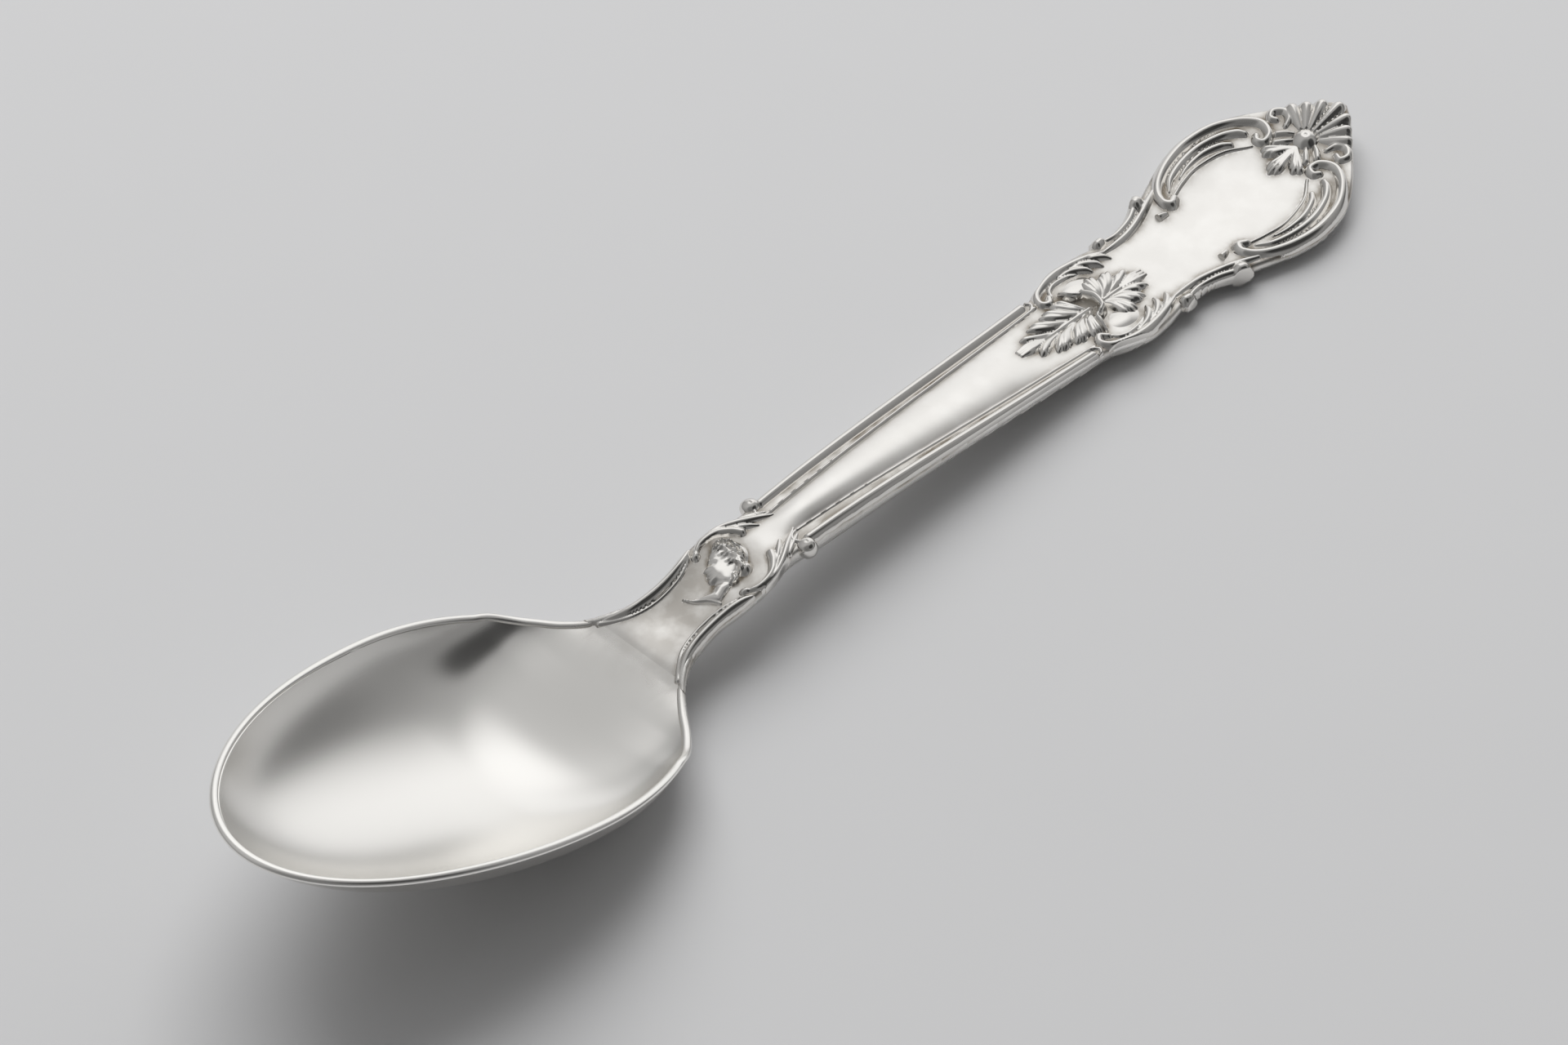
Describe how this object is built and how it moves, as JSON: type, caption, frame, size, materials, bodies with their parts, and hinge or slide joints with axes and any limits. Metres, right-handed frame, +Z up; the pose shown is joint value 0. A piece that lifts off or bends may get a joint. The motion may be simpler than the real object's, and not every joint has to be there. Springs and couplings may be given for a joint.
{
  "type": "teaspoon",
  "caption": "Ornate silver teaspoon: an upturned oval bowl lapped to a reeded handle with cast scrolls, acanthus leaves, a small profile head and a rosette crest.",
  "frame": {"origin": "on the table, under the middle of the spoon's length and width", "axes": "+X from the bowl to the crest of the handle, +Y to the left of the handle seen from above, +Z up from the table"},
  "size_m": [0.1426, 0.0298, 0.0178],
  "materials": {
    "bowl_silver": "polished silver with fine wiping scratches",
    "handle_silver": "satin polished silver, darker in the recesses",
    "ornament_silver": "polished silver castings with brown-grey patina in the recesses"
  },
  "bodies": {
    "root": {"acanthus_lower": "ornament_silver", "acanthus_tie": "ornament_silver", "acanthus_upper": "ornament_silver", "bowl": "bowl_silver", "cameo_head": "ornament_silver", "crest_scroll_left": "ornament_silver", "crest_scroll_right": "ornament_silver", "handle": "handle_silver", "knop_left": "ornament_silver", "knop_right": "ornament_silver", "leaf_tuft": "ornament_silver", "neck_leaf_left": "ornament_silver", "neck_leaf_right": "ornament_silver", "neck_reed_left": "ornament_silver", "neck_reed_right": "ornament_silver", "palmette": "ornament_silver", "panel_bead_left": "ornament_silver", "panel_bead_right": "ornament_silver", "rosette": "ornament_silver", "shoulder_scroll_left": "ornament_silver", "shoulder_scroll_right": "ornament_silver", "stem_bead_left": "ornament_silver", "stem_bead_right": "ornament_silver", "stem_reed_left": "ornament_silver", "stem_reed_right": "ornament_silver", "waist_scroll_left": "ornament_silver", "waist_scroll_right": "ornament_silver"}
  },
  "joints": []
}
